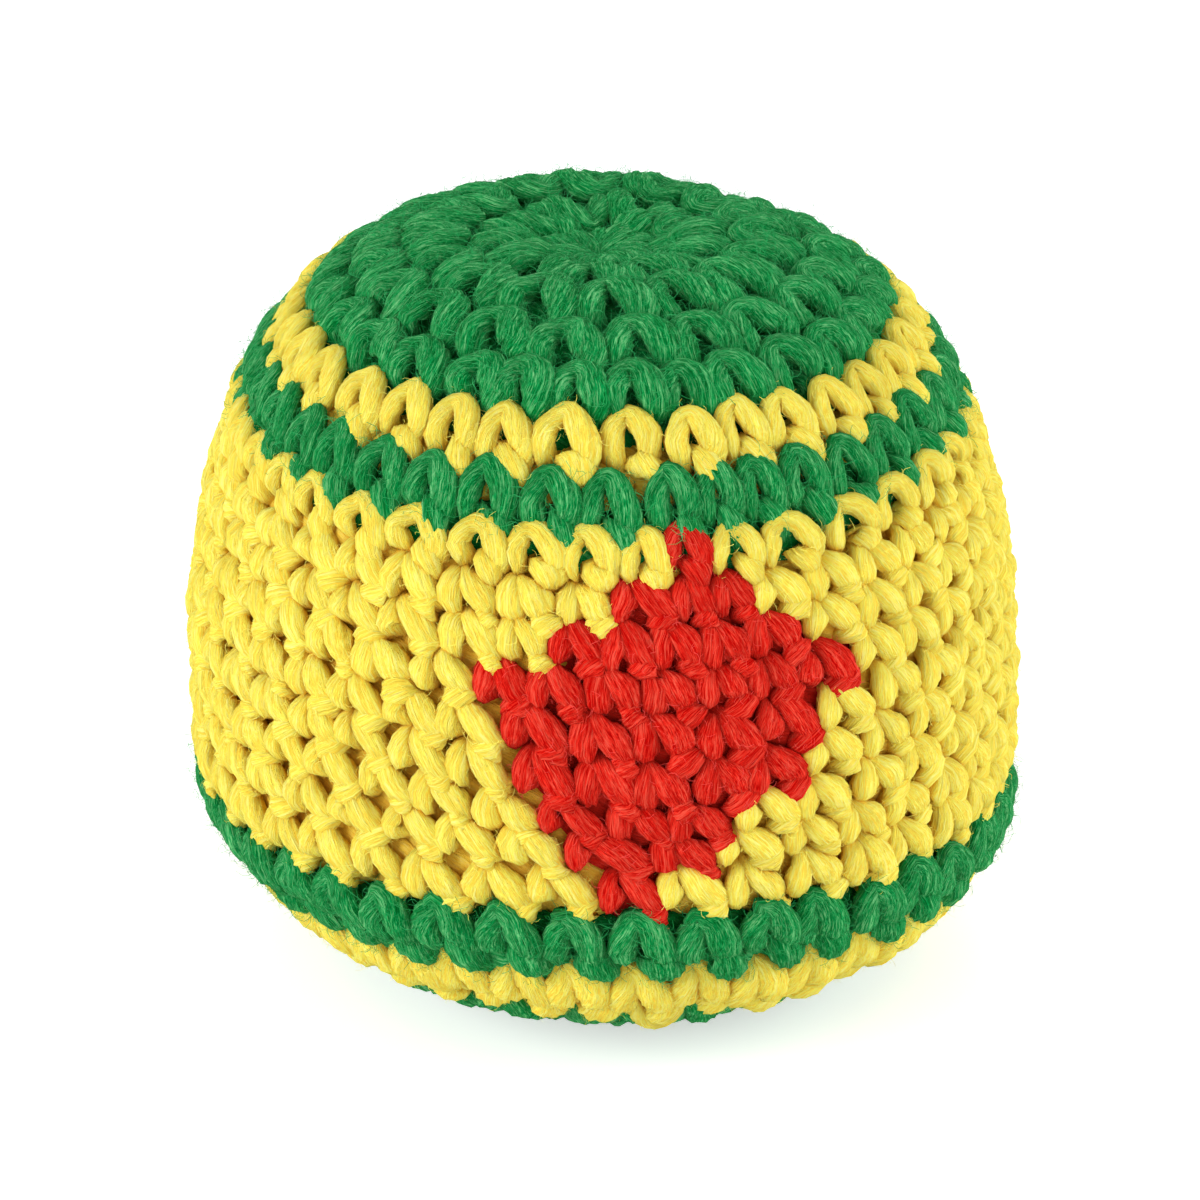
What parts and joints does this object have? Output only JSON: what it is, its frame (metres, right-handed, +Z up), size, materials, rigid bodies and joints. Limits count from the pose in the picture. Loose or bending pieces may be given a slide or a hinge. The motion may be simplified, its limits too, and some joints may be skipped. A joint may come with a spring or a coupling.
{
  "type": "footbag",
  "caption": "Small round crocheted footbag with a domed crown, green and yellow stripes, red diamonds round its yellow band, and a cloth liner full of plastic pellets.",
  "frame": {"origin": "the middle of the flat that the base rests on", "axes": "+Z up through the crown's middle; one red diamond faces -Y; +X is to the right of that diamond"},
  "size_m": [0.0546, 0.0546, 0.0491],
  "materials": {
    "green_yarn": "soft fuzzy acrylic yarn in single crochet, matt with a slight sheen",
    "yellow_yarn": "soft fuzzy acrylic yarn in single crochet, matt with a slight sheen",
    "red_yarn": "soft fuzzy acrylic yarn in single crochet, matt with a slight sheen",
    "liner_cloth": "thin plain cloth, matt",
    "tie_thread": "plain sewing thread, matt",
    "pellets": "loose plastic pellets, satin"
  },
  "bodies": {
    "root": {"crown_round_1": "green_yarn", "crown_round_2": "green_yarn", "crown_round_3": "green_yarn", "crown_round_4": "green_yarn", "crown_round_5": "green_yarn", "yellow_stripe": "yellow_yarn", "green_stripe": "green_yarn", "band_round_1": "yellow_yarn", "band_round_2": "yellow_yarn", "band_round_3": "yellow_yarn", "band_round_4": "yellow_yarn", "band_round_5": "yellow_yarn", "band_round_6": "yellow_yarn", "band_round_7": "yellow_yarn", "band_round_8": "yellow_yarn", "band_round_9": "yellow_yarn", "lower_green_stripe": "green_yarn", "lower_yellow_stripe": "yellow_yarn", "base_round_1": "green_yarn", "base_round_2": "green_yarn", "base_round_3": "green_yarn", "base_round_4": "green_yarn", "base_round_5": "green_yarn", "base_round_6": "green_yarn", "red_diamond_back": "red_yarn", "red_diamond_front": "red_yarn", "liner_pouch": "liner_cloth", "liner_tie": "tie_thread", "pellet_fill": "pellets"}
  },
  "joints": []
}
